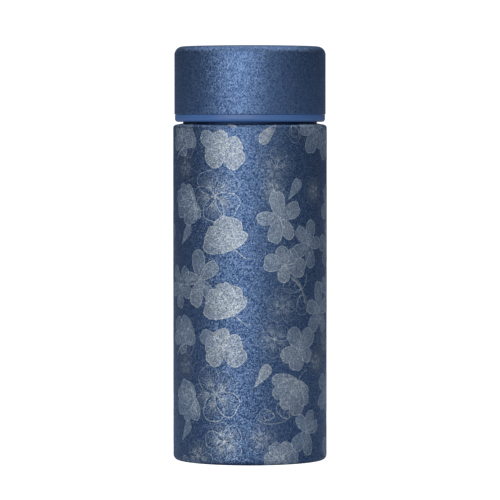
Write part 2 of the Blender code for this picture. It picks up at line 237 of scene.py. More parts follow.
class Tree:
    """Short-hand for building one Principled material out of nodes."""

    def __init__(self, name):
        self.material = bpy.data.materials.new(name)
        self.material.use_nodes = True
        self.tree = self.material.node_tree
        self.shader = self.tree.nodes["Principled BSDF"]
        coords = self.tree.nodes.new("ShaderNodeTexCoord")
        scale = self.node("ShaderNodeVectorMath", operation="SCALE")
        self.tree.links.new(coords.outputs["Object"], scale.inputs[0])
        scale.inputs["Scale"].default_value = 1 / MM
        self.place = scale.outputs[0]

    def node(self, kind, **props):
        made = self.tree.nodes.new(kind)
        for key, value in props.items():
            setattr(made, key, value)
        return made

    def put(self, socket, value):
        if isinstance(value, bpy.types.NodeSocket):
            self.tree.links.new(value, socket)
        elif isinstance(value, tuple) and len(value) == 3 and socket.type == "RGBA":
            socket.default_value = (*value, 1.0)
        else:
            socket.default_value = value

    def math(self, operation, a, b=0.0, clamp=False):
        n = self.node("ShaderNodeMath", operation=operation, use_clamp=clamp)
        self.put(n.inputs[0], a)
        self.put(n.inputs[1], b)
        return n.outputs[0]

    def noise(self, scale, detail=2.0, rough=0.5, place=None, seed=0.0):
        n = self.node("ShaderNodeTexNoise", noise_dimensions="4D" if seed else "3D")
        self.put(n.inputs["Vector"], place or self.place)
        self.put(n.inputs["Scale"], scale)
        self.put(n.inputs["Detail"], detail)
        self.put(n.inputs["Roughness"], rough)
        if seed:
            self.put(n.inputs["W"], seed)
        return n.outputs["Fac"]

    def cells(self, scale, output="Distance", feature="F1"):
        n = self.node("ShaderNodeTexVoronoi", feature=feature)
        self.put(n.inputs["Vector"], self.place)
        self.put(n.inputs["Scale"], scale)
        return n.outputs[output]

    def channel(self, colour, index):
        n = self.node("ShaderNodeSeparateColor")
        self.put(n.inputs[0], colour)
        return n.outputs[index]

    def ramp(self, value, lo, hi, to_lo=0.0, to_hi=1.0):
        n = self.node("ShaderNodeMapRange")
        names = ("Value", "From Min", "From Max", "To Min", "To Max")
        for name, v in zip(names, (value, lo, hi, to_lo, to_hi)):
            self.put(n.inputs[name], v)
        return n.outputs["Result"]

    def mix(self, factor, a, b, blend="MIX"):
        """Two colours mixed. Inputs 6 and 7 and output 2 are a Mix node's colour sockets."""
        n = self.node("ShaderNodeMix", data_type="RGBA", blend_type=blend)
        self.put(n.inputs["Factor"], factor)
        self.put(n.inputs[6], a)
        self.put(n.inputs[7], b)
        return n.outputs[2]

    def attribute(self, name):
        n = self.node("ShaderNodeAttribute", attribute_name=name)
        return n.outputs["Fac"]

    def bump(self, height, distance, strength):
        n = self.node("ShaderNodeBump")
        self.put(n.inputs["Height"], height)
        self.put(n.inputs["Distance"], distance * MM)
        self.put(n.inputs["Strength"], strength)
        return n.outputs[0]

    def tilted(self, colour, amount, normal):
        """A normal leaned a little towards each flake's own random direction."""
        centred = self.node("ShaderNodeVectorMath", operation="SUBTRACT")
        self.put(centred.inputs[0], colour)
        centred.inputs[1].default_value = (0.5, 0.5, 0.5)
        lean = self.node("ShaderNodeVectorMath", operation="SCALE")
        self.put(lean.inputs[0], centred.outputs[0])
        lean.inputs["Scale"].default_value = amount
        total = self.node("ShaderNodeVectorMath", operation="ADD")
        self.put(total.inputs[0], normal)
        self.put(total.inputs[1], lean.outputs[0])
        unit = self.node("ShaderNodeVectorMath", operation="NORMALIZE")
        self.put(unit.inputs[0], total.outputs[0])
        return unit.outputs[0]

    def around(self, along, across):
        """A place that runs round the axis slowly and changes quickly along it, for turned marks."""
        parts = self.node("ShaderNodeSeparateXYZ")
        self.put(parts.inputs[0], self.place)
        x, y, z = parts.outputs
        r = self.math("SQRT", self.math("ADD", self.math("MULTIPLY", x, x), self.math("MULTIPLY", y, y)))
        r = self.math("MAXIMUM", r, 0.01)
        made = self.node("ShaderNodeCombineXYZ")
        self.put(made.inputs[0], self.math("MULTIPLY", self.math("DIVIDE", x, r), along))
        self.put(made.inputs[1], self.math("MULTIPLY", self.math("DIVIDE", y, r), along))
        self.put(made.inputs[2], self.math("MULTIPLY", self.math("ADD", r, z), across))
        return made.outputs[0]

    def finish(self, **sockets):
        for key, value in sockets.items():
            self.put(self.shader.inputs[key.replace("_", " ")], value)
        return self.material


# Texture scales are in features per millimetre.
FLAKE_SCALE = 2.6
GLINT_SCALE = 4.6
GRAIN_SCALE = 3.2
CAP_SPARKLE = 1.0
BODY_SPARKLE = 1.5
FLAKE_TILT = 0.21
FLAKE_RANGE = 0.18
PAINT_METAL = 0.92
BODY_SHADE = 0.86
# How dark the painted shade on the land under the cap ring is, as a share of PAINT_DARK.
LAND_SHADE_DARKNESS = 0.8
PAINT_DARK = (0.032, 0.080, 0.196)
PAINT_LIGHT = (0.160, 0.242, 0.405)
PAINT_GLINT = (0.60, 0.70, 0.82)
INK_METAL = 0.35
# Strength of the painted glints in the ink: random flakes lightened towards white.
INK_PAINTED_GLINT = 1.0
INK_WARM = (0.41, 0.43, 0.42)
INK_COOL = (0.32, 0.385, 0.44)
RING_DARK = (0.058, 0.134, 0.325)
RING_LIGHT = (0.068, 0.150, 0.365)
WHITE = (1.0, 1.0, 1.0)


def shaded(colour, factor):
    return tuple(factor * c for c in colour)


def paint_layers(t, sparkle, shade):
    """Colour, roughness, normal and flakes of the metallic paint, used bare and under the print."""
    dark = shaded(PAINT_DARK, shade)
    light = shaded(PAINT_LIGHT, shade)
    flake = t.cells(FLAKE_SCALE, "Color")
    fine = t.channel(t.cells(GLINT_SCALE, "Color"), 1)
    glint = t.ramp(fine, 0.91, 1.0, 0.0, 0.35 * sparkle)
    grain = t.noise(GRAIN_SCALE, 3.0, 0.6)
    level = t.math("ADD", t.math("MULTIPLY", t.channel(flake, 2), 0.32), t.math("MULTIPLY", grain, 0.5))
    level = t.math("ADD", level, t.math("MULTIPLY", t.channel(flake, 0), 0.18))
    level = t.ramp(level, 0.5 - FLAKE_RANGE / sparkle, 0.5 + FLAKE_RANGE / sparkle)
    colour = t.mix(level, dark, light)
    colour = t.mix(glint, colour, PAINT_GLINT)
    colour = t.mix(t.ramp(t.noise(0.05, 3.0), 0.3, 0.7, 0.0, 0.12), colour, dark)
    rough = t.ramp(grain, 0.25, 0.75, 0.40, 0.54)
    peel = t.noise(GRAIN_SCALE, 2.0, 0.55, seed=3.0)
    height = t.math("ADD", peel, t.math("MULTIPLY", t.channel(flake, 2), 0.2))
    normal = t.tilted(flake, FLAKE_TILT * sparkle, t.bump(height, 0.04, 0.55))
    return colour, rough, normal, flake


def paint_material(name, sparkle, shade, land_shade_z=None):
    """The bare metallic paint. Above the given height the colour is only the dark paint tone: painted shade
    on the land in the gap under the cap ring.
    """
    t = Tree(name)
    colour, rough, normal, _ = paint_layers(t, sparkle, shade)
    if land_shade_z:
        # Painted shade: the raised land under the cap ring is darkened to the dark paint tone.
        land_shade_mask = t.ramp(t.channel(t.place, 2), land_shade_z, land_shade_z + 0.1)
        colour = t.mix(land_shade_mask, colour, shaded(PAINT_DARK, LAND_SHADE_DARKNESS))
    return t.finish(Base_Color=colour, Roughness=rough, Metallic=PAINT_METAL, Normal=normal)


def print_material():
    """Speckled ink over the paint, as strong as the face's ink value and as warm as its tone."""
    t = Tree("blossom_ink")
    colour, rough, normal, flake = paint_layers(t, BODY_SPARKLE, BODY_SHADE)
    ink = t.attribute("ink")
    tone = t.attribute("tone")
    speckle = t.noise(2.0, 2.0, 0.6, seed=9.0)
    mottle = t.noise(0.45, 3.0, 0.6, seed=5.0)
    cover = t.math("MULTIPLY", ink, t.ramp(speckle, 0.28, 0.72, 0.16, 1.58))
    cover = t.math("MULTIPLY", cover, t.ramp(mottle, 0.3, 0.7, 0.82, 1.12), clamp=True)
    ink_colour = t.mix(tone, INK_COOL, INK_WARM)
    # Painted glints: the ink colour is lightened on random flakes, as if they caught the light.
    ink_glint_mask = t.ramp(t.channel(flake, 1), 0.25, 1.0, 0.0, INK_PAINTED_GLINT)
    ink_colour = t.mix(ink_glint_mask, ink_colour, WHITE, "OVERLAY")
    colour = t.mix(cover, colour, ink_colour)
    metal = t.ramp(cover, 0.0, 1.0, PAINT_METAL, INK_METAL)
    return t.finish(Base_Color=colour, Roughness=rough, Metallic=metal, Normal=normal)


def ring_material():
    t = Tree("blue_ring_plastic")
    clouds = t.noise(0.35, 3.0)
    colour = t.mix(clouds, RING_DARK, RING_LIGHT)
    fine = t.noise(5.0, 2.0)
    rough = t.ramp(fine, 0.3, 0.7, 0.34, 0.42)
    return t.finish(Base_Color=colour, Roughness=rough, Normal=t.bump(fine, 0.01, 0.3))


def steel_material(name, along, across, shade=0.60, rough_lo=0.18, rough_hi=0.36):
    """Steel with turned marks. along and across are how often they change round and along the axis."""
    t = Tree(name)
    marks = t.noise(1.0, 4.0, 0.65, place=t.around(along, across))
    broad = t.noise(0.12, 2.0, seed=2.0)
    level = t.math("ADD", t.math("MULTIPLY", marks, 0.7), t.math("MULTIPLY", broad, 0.3))
    colour = t.mix(level, shaded(WHITE, 0.82 * shade), shaded((1.15, 1.14, 1.12), shade))
    rough = t.ramp(marks, 0.3, 0.7, rough_lo, rough_hi)
    return t.finish(Base_Color=colour, Roughness=rough, Metallic=1.0, Normal=t.bump(marks, 0.012, 0.5))


def moulded_material(name, dark, light, rough=0.45, grain=3.0, depth=0.02):
    t = Tree(name)
    fine = t.noise(grain, 3.0)
    clouds = t.noise(0.15, 2.0, seed=4.0)
    level = t.math("ADD", t.math("MULTIPLY", fine, 0.4), t.math("MULTIPLY", clouds, 0.6))
    colour = t.mix(level, dark, light)
    return t.finish(
        Base_Color=colour,
        Roughness=t.ramp(fine, 0.3, 0.7, rough - 0.06, rough + 0.08),
        Normal=t.bump(fine, depth, 0.4),
    )


def silicone_material():
    t = Tree("clear_white_silicone")
    fine = t.noise(2.0, 3.0)
    colour = t.mix(fine, (0.66, 0.68, 0.70), (0.78, 0.79, 0.80))
    return t.finish(
        Base_Color=colour,
        Roughness=t.ramp(fine, 0.3, 0.7, 0.42, 0.55),
        Normal=t.bump(fine, 0.02, 0.3),
    )


def foam_material():
    t = Tree("white_foam")
    cell = t.cells(1.1, "Distance")
    colour = t.mix(cell, (0.90, 0.90, 0.88), (0.70, 0.70, 0.69))
    return t.finish(
        Base_Color=colour,
        Roughness=t.ramp(cell, 0.0, 1.0, 0.85, 0.95),
        Normal=t.bump(cell, 0.2, -0.6),
    )


def foil_material():
    t = Tree("bright_foil")
    creases = t.cells(0.12, "Distance", "DISTANCE_TO_EDGE")
    rolled = t.noise(1.0, 3.0, place=t.around(1.0, 5.0))
    colour = t.mix(rolled, (0.74, 0.74, 0.76), (0.86, 0.86, 0.88))
    return t.finish(
        Base_Color=colour,
        Roughness=t.ramp(rolled, 0.3, 0.7, 0.10, 0.24),
        Metallic=1.0,
        Normal=t.bump(t.math("MINIMUM", creases, 0.4), 0.15, 0.4),
    )


def glass_material():
    t = Tree("solder_glass")
    swirl = t.noise(1.2, 4.0)
    colour = t.mix(swirl, (0.25, 0.34, 0.29), (0.42, 0.50, 0.45))
    return t.finish(
        Base_Color=colour,
        Roughness=t.ramp(swirl, 0.3, 0.7, 0.05, 0.14),
        Normal=t.bump(swirl, 0.05, 0.3),
    )


# ---------------------------------------------------------------- blossom print

PRINT_SEED = 5
PRINT_LIFT = 0.03
PRINT_LOW = -0.4
PRINT_HIGH = CORNER_Z + SHOULDER_CORNER * SHOULDER_LEAN + 2.6
HALF_ROUND = math.pi * BODY_R
COLUMN_REPEAT = 71.0
TILE_HEIGHT = 126.0
BACK_DROP = 48.0
FAINTEST_INK = 0.045

# Line widths, line strengths, and how far a motif's colour goes from INK_COOL to INK_WARM.
OUTLINE = 0.26
VEIN = 0.20
THIN = 0.18
EDGE_STRENGTH = 0.72
VEIN_STRENGTH = 0.50
WARM, COOL, MIXED = 0.95, 0.10, 0.5


def corner_point(corner, corner_z, a):
    """(r, z, normal r, normal z) on a round corner of the shell, at angle a above level."""
    r = BODY_R - corner + corner * math.cos(a)
    return r, corner_z + corner * math.sin(a), math.cos(a), math.sin(a)


def shell_point(v):
    """(r, z, normal r, normal z) of the shell's skin, v along it from the foot's corner upwards."""
    if v < FOOT_CORNER:
        return corner_point(FOOT_CORNER, FOOT_CORNER, (v - FOOT_CORNER) / FOOT_CORNER)
    if v <= CORNER_Z:
        return BODY_R, v, 1.0, 0.0
    a = min((v - CORNER_Z) / SHOULDER_CORNER, SHOULDER_LEAN)
    r, z, normal_r, normal_z = corner_point(SHOULDER_CORNER, CORNER_Z, a)
    extra = v - CORNER_Z - SHOULDER_CORNER * SHOULDER_LEAN
    if extra > 0:
        run = r - LAND_R
        rise = SHOULDER_Z - z
        slope = math.hypot(run, rise)
        r, z = r - run * extra / slope, z + rise * extra / slope
        normal_r, normal_z = rise / slope, run / slope
    return r, z, normal_r, normal_z


class Print:
    """Collects the layers of the print, as flat outlines on the unrolled body.

    A layer is (outline, inner outline or None, fill strength, line strength, tone). Its line is drawn
    between the two outlines, or over the whole of a layer that has only one.
    """

    def __init__(self, seed):
        self.random = random.Random(seed)
        self.layers = []

    def shape(self, points, fill, line, tone, width=OUTLINE):
        """A closed outline with a filled inside."""
        points = np.asarray(points, float)
        edge = np.roll(points, -1, 0) - np.roll(points, 1, 0)
        normal = np.stack([edge[:, 1], -edge[:, 0]], 1) / np.linalg.norm(edge, axis=1)[:, None]
        area = np.sum(points[:, 0] * np.roll(points[:, 1], -1) - points[:, 1] * np.roll(points[:, 0], -1))
        inner = points - normal * width * (1 if area > 0 else -1)
        self.layers.append((points, inner, fill, line, tone))

    def stroke(self, points, width, alpha, tone, taper=0.35):
        """A line along points, thinner at its far end."""
        points = np.asarray(points, float)
        along = np.gradient(points, axis=0)
        side = np.stack([-along[:, 1], along[:, 0]], 1) / np.linalg.norm(along, axis=1)[:, None]
        half = width / 2 * np.linspace(1.0, taper, len(points))[:, None]
        outline = np.concatenate([points + side * half, (points - side * half)[::-1]])
        self.layers.append((outline, None, 0.0, alpha, tone))

    def dot(self, centre, radius, alpha, tone):
        a = np.arange(5) * math.tau / 5
        outline = np.stack([centre[0] + radius * np.cos(a), centre[1] + radius * np.sin(a)], 1)
        self.layers.append((outline, None, 0.0, alpha, tone))


def place(points, centre, turn=0.0):
    """Rotates points and moves them to a centre."""
    a = math.radians(turn)
    spin = np.array([[math.cos(a), -math.sin(a)], [math.sin(a), math.cos(a)]])
    return np.asarray(points, float) @ spin.T + np.asarray(centre, float)


def petal_outline(rng, length, width, notch=0.0, steps=26):
    """One rounded petal pointing up from the origin, narrow at its foot and a little uneven."""
    points = []
    phase = rng.uniform(0, math.tau)
    skew = rng.uniform(-0.06, 0.06)
    for i in range(steps):
        t = math.tau * i / steps
        up = (1 - math.cos(t)) / 2
        x = width / 2 * math.sin(t) * (0.66 + 0.52 * up) * (1 + 0.03 * math.sin(3 * t + phase))
        y = length * up * (1 + 0.02 * math.sin(5 * t + phase))
        y -= notch * math.exp(-(((t - math.pi) / 0.3) ** 2))
        points.append((x + skew * y, y))
    return np.array(points)


def curve(start, end, bow, steps=4):
    """Points from start to end, bowed to the side by a share of its length."""
    start, end = np.asarray(start, float), np.asarray(end, float)
    t = np.linspace(0, 1, steps)[:, None]
    side = np.array([-(end - start)[1], (end - start)[0]])
    return start + (end - start) * t + side * bow * 4 * t * (1 - t)


def petal(p, length, width, fill, line, tone, veins, vein_line, where, outline_width=OUTLINE):
    """One petal with its veins. where is (centre, turn)."""
    outline = petal_outline(p.random, length, width, 0.045 * length)
    p.shape(place(outline, *where), fill, line, tone, outline_width)
    for k in range(veins):
        side = (2 * k / (veins - 1) - 1) * p.random.uniform(0.85, 1.1)
        start = (side * 0.10 * width, length * p.random.uniform(0.22, 0.36))
        end = (side * 0.44 * width, length * (0.90 - 0.22 * side * side) * p.random.uniform(0.88, 1.02))
        p.stroke(place(curve(start, end, 0.07 * side), *where), VEIN, vein_line, tone)


def stamens(p, count, inner, reach, line, where):
    """A burst of thin lines with a dot at the end of each."""
    centre, turn = where
    for k in range(count):
        angle = turn + 360 / count * k + p.random.uniform(-9, 9)
        length = reach * p.random.uniform(0.7, 1.1)
        spot = (centre, angle)
        filament = curve((0, inner), (0, length), p.random.uniform(-0.08, 0.08), 3)
        p.stroke(place(filament, *spot), THIN, line, WARM)
        p.dot(place([(0, length)], *spot)[0], 0.24, line, WARM)


def fivefold(turn, length):
    """Directions and lengths of five even petals."""
    return [(turn + 72 * k, length) for k in range(5)]


def blossom(p, centre, petals, fill=0.5, tone=MIXED, plump=0.70, veins=6):
    """Filled petals out of one point, each with its direction (from up, to the left) and its length."""
    for angle, length in petals:
        where = (centre, angle + p.random.uniform(-3, 3))
        reach = length * p.random.uniform(0.96, 1.04)
        strength = fill * p.random.uniform(0.70, 1.02)
        own_tone = tone + p.random.uniform(-0.2, 0.2)
        width = length * plump * p.random.uniform(0.92, 1.06)
        petal(p, reach, width, strength, EDGE_STRENGTH, own_tone, veins, VEIN_STRENGTH, where)


def open_blossom(p, centre, petals, fill=0.5, tone=MIXED, plump=0.70):
    """A blossom seen from the front, with its stamens."""
    blossom(p, centre, petals, fill, tone, plump)
    stamens(p, 9, 0.2, 0.30 * petals[0][1], 0.36, (centre, petals[0][0]))


def line_blossom(p, centre, radius, turn, strength=0.34, bold=()):
    """A drawn blossom: outlined petals full of veins, and a burst of stamens. Bold petals stand out."""
    for k in range(5):
        where = (centre, turn + 72 * k + p.random.uniform(-6, 6))
        length = radius * p.random.uniform(0.90, 1.05)
        edge, width = (strength * 1.3, 0.32) if k in bold else (strength, 0.22)
        petal(p, length, radius * 0.88, 0.04, edge, MIXED, 15, strength * 0.80, where, width)
    stamens(p, 17, 0.03 * radius, 0.42 * radius, strength * 1.3, (centre, turn))


def side_blossom(p, foot, petals, ridge, fill=0.5, tone=MIXED, plump=0.62):
    """A blossom seen from the side: a fan of petals, with a bright ridge along its foot."""
    blossom(p, foot, petals, fill, tone, plump, 7)
    twig(p, ridge, 0.8, 0.7)


def loose_petal(p, point, tip, width, fill=0.5, tone=MIXED):
    """A single fallen petal from its pointed end to its round end."""
    point, tip = np.asarray(point, float), np.asarray(tip, float)
    length = float(np.linalg.norm(tip - point))
    turn = math.degrees(math.atan2(tip[1] - point[1], tip[0] - point[0])) - 90
    outline = petal_outline(p.random, length, width)
    outline[:, 0] *= 0.30 + 0.85 * np.clip(outline[:, 1] / length, 0, 1)
    p.shape(place(outline, point, turn), fill, 0.32, tone)
    for side in (-0.2, 0.15):
        vein = curve((0, 0.1 * length), (side * width, 0.86 * length), 0.1 * side)
        p.stroke(place(vein, point, turn), THIN, 0.2, tone)


def twig(p, points, width=0.42, alpha=0.42):
    """A stem through a few points."""
    points = np.asarray(points, float)
    t = np.linspace(0, len(points) - 1, 8 * (len(points) - 1) + 1)
    smooth = np.stack([np.interp(t, np.arange(len(points)), points[:, i]) for i in range(2)], 1)
    for _ in range(6):
        smooth[1:-1] = (smooth[:-2] + smooth[1:-1] * 2 + smooth[2:]) / 4
    p.stroke(smooth, width, alpha, WARM, 0.55)


def bud(p, foot, length, turn, strength=0.36):
    """A closed bud drawn as nested loops from its stalk."""
    for scale in (1.0, 0.72, 0.42):
        outline = petal_outline(p.random, length * scale, length * 0.8 * scale)
        p.shape(place(outline, foot, turn), 0.03, strength * (0.9 + 0.4 * scale), MIXED, 0.24)


def left_motifs(p, drop):
    """The column of motifs left of the middle, which comes twice up the body."""
    pale = [(14, 7.0), (-67, 7.6), (-127, 9.2), (135, 8.4), (82, 7.6)]
    open_blossom(p, (-9.7, 113.4 - drop), pale, 0.52, WARM, 0.94)
    blossom(p, (-9.7, 113.4 - drop), [(62, 11.0)], 0.46, MIXED, 0.58)
    line_blossom(p, (-13.0, 96.5 - drop), 10.6, 24, 0.58, bold=(2, 3))
    fan = [(36, 7.4), (58, 10.4), (84, 12.2), (112, 12.0), (144, 10.6), (174, 8.2), (-168, 6.6)]
    ridge = [(-24.6, 98.6 - drop), (-22.6, 95.0 - drop), (-20.8, 88.6 - drop)]
    side_blossom(p, (-21.8, 94.8 - drop), fan, ridge, 0.44, COOL, 0.56)
    twig(p, [(-21.4, 94.6 - drop), (-18.8, 96.4 - drop), (-17.8, 99.8 - drop)], 0.36)
    loose_petal(p, (-29.8, 79.0 - drop), (-24.2, 85.8 - drop), 4.6, 0.44, COOL)
    loose_petal(p, (-24.8, 123.4 - drop), (-24.2, 113.6 - drop), 7.2, 0.40, MIXED)
    blossom(p, (-29.8, 117.6 - drop), fivefold(-30, 7.4), 0.38, COOL, 0.80)
    twig(p, [(-34.0, 109.8 - drop), (-31.4, 112.6 - drop), (-27.8, 114.2 - drop)], 0.7, 0.5)
    bud(p, (-29.4, 113.2 - drop), 6.6, -100)
    line_blossom(p, (-27.4, 106.4 - drop), 5.6, 12, 0.22)


def pattern_tile(p):
    """The motifs of one repeat, as arc and height on the front of the body."""
    for drop in (0.0, COLUMN_REPEAT):
        left_motifs(p, drop)
    loose_petal(p, (-4.6, 121.0), (-8.6, 123.6), 2.2, 0.46, WARM)
    # Middle left, top to bottom.
    fan = [(82, 11.8), (56, 12.2), (26, 12.0), (-4, 10.6), (-34, 7.6)]
    for drop in (0.0, 23.6):
        ridge = [(-10.4, 76.6 - drop), (-5.6, 77.6 - drop), (-1.6, 81.0 - drop)]
        side_blossom(p, (-6.2, 78.2 - drop), fan, ridge, 0.52, WARM, 0.62)
        stalk = [(-5.4, 77.4 - drop), (-3.4, 75.8 - drop), (-1.4, 74.0 - drop), (0.4, 74.6 - drop)]
        twig(p, stalk, 0.5, 0.5)
    petals = [(8, 11.0), (-54, 9.6), (-140, 8.6), (160, 10.6), (88, 8.6)]
    open_blossom(p, (-19.4, 66.6), petals, 0.48, MIXED, 0.60)
    blossom(p, (-31.5, 64.0), fivefold(36, 8.4), 0.36, COOL, 0.62)
    line_blossom(p, (-9.4, 8.6), 7.8, 12, 0.58, bold=(1,))
    line_blossom(p, (-20.5, 3.0), 6.5, 40, 0.43)
    blossom(p, (-27.0, -3.4), fivefold(10, 6.4), 0.44, COOL)
    # Middle right, top to bottom.
    loose_petal(p, (9.8, 122.4), (3.2, 116.0), 5.2, 0.50, WARM)
    line_blossom(p, (9.6, 107.0), 7.6, -12, 0.27)
    line_blossom(p, (8.6, 98.6), 5.6, 30, 0.36)
    bud(p, (16.0, 122.0), 6.6, 200, 0.30)
    loose_petal(p, (14.2, 95.2), (19.8, 102.2), 4.8, 0.46, COOL)
    petals = [(5, 9.6), (-66, 9.6), (-142, 9.0), (164, 9.8), (94, 9.0)]
    open_blossom(p, (10.8, 88.8), petals, 0.50, MIXED, 0.64)
    petals = [(-9, 9.0), (-80, 7.8), (-173, 9.0), (116, 9.4), (48, 8.8)]
    open_blossom(p, (23.8, 79.0), petals, 0.42, COOL, 0.60)
    petals = [(81, 8.8), (22, 7.0), (-40, 6.8), (-104, 9.4), (168, 6.8)]
    open_blossom(p, (13.2, 72.0), petals, 0.50, MIXED, 0.78)
    twig(p, [(15.6, 67.2), (18.6, 65.0), (20.8, 62.0), (22.0, 57.8)], 0.7, 0.55)
    twig(p, [(20.4, 62.8), (22.2, 65.0), (22.8, 68.4)], 0.45, 0.5)
    bud(p, (20.2, 63.4), 8.0, 74)
    bud(p, (21.0, 61.6), 8.0, 172)
    line_blossom(p, (12.0, 57.0), 7.0, 0, 0.28)
    petals = [(6, 10.6), (70, 8.6), (140, 9.4), (-70, 8.0), (-150, 9.0)]
    open_blossom(p, (31.0, 55.0), petals, 0.42, COOL, 0.66)
    line_blossom(p, (9.0, 45.5), 7.0, 20, 0.30)
    petals = [(26, 8.6), (-48, 9.6), (112, 8.6), (170, 8.2), (-118, 7.4)]
    open_blossom(p, (19.0, 41.6), petals, 0.46, MIXED, 0.76)
    loose_petal(p, (1.6, 28.2), (7.2, 36.0), 4.8, 0.50, WARM)
    fan = [(93, 10.4), (118, 11.4), (147, 12.0), (174, 12.8), (-157, 10.4), (-130, 7.2)]
    side_blossom(p, (18.4, 30.2), fan, [(11.6, 31.2), (17.6, 30.8), (22.6, 27.4)], 0.48, MIXED, 0.56)
    twig(p, [(18.8, 30.6), (20.6, 33.0), (23.6, 34.0)], 0.45, 0.45)
    line_blossom(p, (28.5, 36.5), 5.6, 0, 0.30)
    bud(p, (9.0, 17.6), 5.8, 76, 0.42)
    bud(p, (14.6, 16.8), 7.0, 38, 0.42)
    twig(p, [(2.4, 16.6), (6.2, 14.8), (12.0, 15.4), (15.8, 17.4), (16.8, 20.4)], 0.45, 0.45)
    petals = [(38, 8.2), (-14, 8.2), (-68, 7.4), (-173, 9.0), (126, 9.2)]
    open_blossom(p, (23.0, 11.4), petals, 0.46, COOL, 0.62)
    petals = [(38, 6.6), (-27, 6.4), (92, 6.8), (-92, 7.4), (180, 7.0)]
    open_blossom(p, (11.8, 2.6), petals, 0.50, MIXED, 0.84)
    line_blossom(p, (4.0, 9.5), 5.6, 8, 0.30)
    # Right edge.
    blossom(p, (26.6, 120.6), [(172, 9.6), (-140, 9.0), (96, 7.4), (40, 8.0), (-60, 8.0)], 0.42, COOL, 0.70)
    blossom(p, (38.0, 116.0), fivefold(-10, 8.4), 0.40, COOL)
    line_blossom(p, (26.6, 98.0), 5.6, 14, 0.27)
    for centre, turn, length in ((41.0, 92.0), 30, 9.0), ((39.5, 79.0), 10, 8.8), ((41.0, 62.0), 0, 9.0):
        blossom(p, centre, fivefold(turn, length), 0.40, COOL)
    line_blossom(p, (36.0, 43.0), 7.0, 0, 0.32)
    blossom(p, (38.5, 25.0), fivefold(-20, 9.0), 0.40, COOL)
    blossom(p, (42.5, 3.0), fivefold(0, 9.6), 0.40, COOL)


def moved_layers(layers, move):
    """The layers shifted by move, without those that miss the body's skin."""
    kept = []
    for outline, inner, fill, line, tone in layers:
        outline = outline + move
        (left, bottom), (right, top) = outline.min(0), outline.max(0)
        if top > PRINT_LOW and bottom < PRINT_HIGH and right > -HALF_ROUND and left < HALF_ROUND:
            kept.append((outline, None if inner is None else inner + move, fill, line, tone))
    return kept


def print_layers():
    """The whole print: the tile once on the front, and again half a turn round and some way lower."""
    tile = Print(PRINT_SEED)
    pattern_tile(tile)
    whole = []
    for across, drop, repeats in ((0.0, 0.0, (0,)), (HALF_ROUND, -BACK_DROP, (-1, 0, 1))):
        for repeat in repeats:
            for wrap in (-1, 0):
                move = np.array((across + wrap * 2 * HALF_ROUND, drop + TILE_HEIGHT * repeat))
                whole += moved_layers(tile.layers, move)
    return whole


def skin_grid(columns=192, rows=48):
    """Points all over the printed skin, close together where it curves, and its border edges."""
    heights = [*np.linspace(PRINT_LOW, FOOT_CORNER, 5)[:-1]]
    heights += [*np.linspace(FOOT_CORNER, CORNER_Z, rows)]
    heights += [*np.linspace(CORNER_Z, PRINT_HIGH, 13)[1:]]
    across = np.linspace(-HALF_ROUND, HALF_ROUND, columns + 1)
    points = [(u, v) for v in heights for u in across]
    row = columns + 1
    last = (len(heights) - 1) * row
    edges = [(k + i, k + i + 1) for k in (0, last) for i in range(columns)]
    edges += [(j * row + k, (j + 1) * row + k) for k in (0, columns) for j in range(len(heights) - 1)]
    return points, edges


def inside(points, outline):
    """Which points lie inside a closed outline."""
    x, y = points[:, 0][:, None], points[:, 1][:, None]
    x1, y1 = outline[:, 0], outline[:, 1]
    x2, y2 = np.roll(x1, -1), np.roll(y1, -1)
    spans = (y1 > y) != (y2 > y)
    rise = np.where(y2 == y1, 1.0, y2 - y1)
    crossing = x < (x2 - x1) * (y - y1) / rise + x1
    return np.count_nonzero(spans & crossing, axis=1) % 2 == 1


def ink_levels(layers, centres):
    """Ink strength and tone at each point: the strongest fill, with every line drawn over it."""
    order = np.argsort(centres[:, 0])
    sorted_x = centres[order, 0]
    filled = np.zeros(len(centres))
    clear = np.ones(len(centres))
    tone_sum = np.zeros(len(centres))
    weight = np.full(len(centres), 1e-9)
    for outline, inner, fill, line, tone in layers:
        (left, bottom), (right, top) = outline.min(0), outline.max(0)
        near = order[np.searchsorted(sorted_x, left) : np.searchsorted(sorted_x, right)]
        near = near[(centres[near, 1] > bottom) & (centres[near, 1] < top)]
        near = near[inside(centres[near], outline)]
        drawn = near if inner is None else near[~inside(centres[near], inner)]
        filled[near] = np.maximum(filled[near], fill)
        clear[drawn] *= 1 - line
        for where, strength in ((near, fill), (drawn, line)):
            tone_sum[where] += strength * tone
            weight[where] += strength
    return 1 - (1 - filled) * clear, tone_sum / weight


def blossom_print(material):
    """Cuts the body's skin along every outline and keeps the inked triangles, a hair above the paint."""
    layers = print_layers()
    points, edges = skin_grid()
    for outline, inner, *_ in layers:
        for loop in (outline, inner):
            if loop is not None:
                first, count = len(points), len(loop)
                points.extend(map(tuple, loop))
                edges += [(first + i, first + (i + 1) % count) for i in range(count)]
    cut = delaunay_2d_cdt([Vector(p) for p in points], edges, [], 0, 1e-5)
    points = np.array([(p.x, p.y) for p in cut[0]])
    triangles = np.array([tuple(f) for f in cut[2]])
    centres = points[triangles].mean(1)
    ink, tone = ink_levels(layers, centres)
    across, up = centres[:, 0], centres[:, 1]
    on_skin = (np.abs(across) < HALF_ROUND) & (up > PRINT_LOW) & (up < PRINT_HIGH)
    keep = on_skin & (ink > FAINTEST_INK)
    print_mesh(points, triangles[keep], ink[keep], tone[keep], material)


